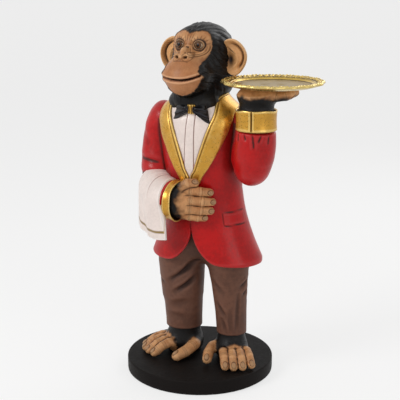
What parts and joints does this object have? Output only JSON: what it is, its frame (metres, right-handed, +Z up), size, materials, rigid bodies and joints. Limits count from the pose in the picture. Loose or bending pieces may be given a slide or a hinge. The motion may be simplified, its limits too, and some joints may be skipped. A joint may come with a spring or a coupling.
{
  "type": "chimpanzee figurine",
  "caption": "Chimpanzee waiter figurine on a round plinth, in jacket, bow tie and trousers, with a towel on its forearm and a raised round tray.",
  "frame": {"origin": "centre of the felt under the plinth, at floor level", "axes": "+Z up; the figure's chest faces -Y; +X is the figure's own left, where it raises the tray"},
  "size_m": [0.5432, 0.39, 0.9219],
  "materials": {
    "felt": "black pressed felt",
    "plinth_paint": "cast resin, satin black-brown paint",
    "zinc_steel": "zinc-plated steel",
    "fur_and_skin_paint": "cast resin, near-black fur with tan skin, satin",
    "ear_paint": "cast resin, tan skin paint with darker folds",
    "brown_paint": "cast resin, brown paint with dark wash",
    "red_paint": "cast resin, red paint under a satin clear coat",
    "white_paint": "cast resin, warm white paint with brown wash",
    "gold_paint": "cast resin, antiqued metallic gold paint",
    "tray_gold": "cast resin, bright metallic gold paint",
    "black_satin_paint": "cast resin, black paint, semi-gloss",
    "eye_glass": "glossy dark brown eyes"
  },
  "bodies": {
    "root": {"base_felt": "felt", "plinth": "plinth_paint", "right_stud": "zinc_steel", "left_stud": "zinc_steel", "right_washer": "zinc_steel", "left_washer": "zinc_steel", "right_nut": "zinc_steel", "left_nut": "zinc_steel", "right_foot": "fur_and_skin_paint", "left_foot": "fur_and_skin_paint", "trousers": "brown_paint", "jacket": "red_paint", "shirt_front": "white_paint", "right_lapel": "gold_paint", "left_lapel": "gold_paint", "bow_tie_knot": "gold_paint", "bow_tie_right_wing": "black_satin_paint", "bow_tie_left_wing": "black_satin_paint", "head": "fur_and_skin_paint", "right_eye": "eye_glass", "left_eye": "eye_glass", "right_ear": "ear_paint", "left_ear": "ear_paint", "right_sleeve": "red_paint", "left_sleeve": "red_paint", "right_cuff": "gold_paint", "left_cuff": "gold_paint", "right_hand": "fur_and_skin_paint", "left_hand": "fur_and_skin_paint", "tray": "tray_gold", "tray_rod": "zinc_steel", "towel": "white_paint"}
  },
  "joints": []
}
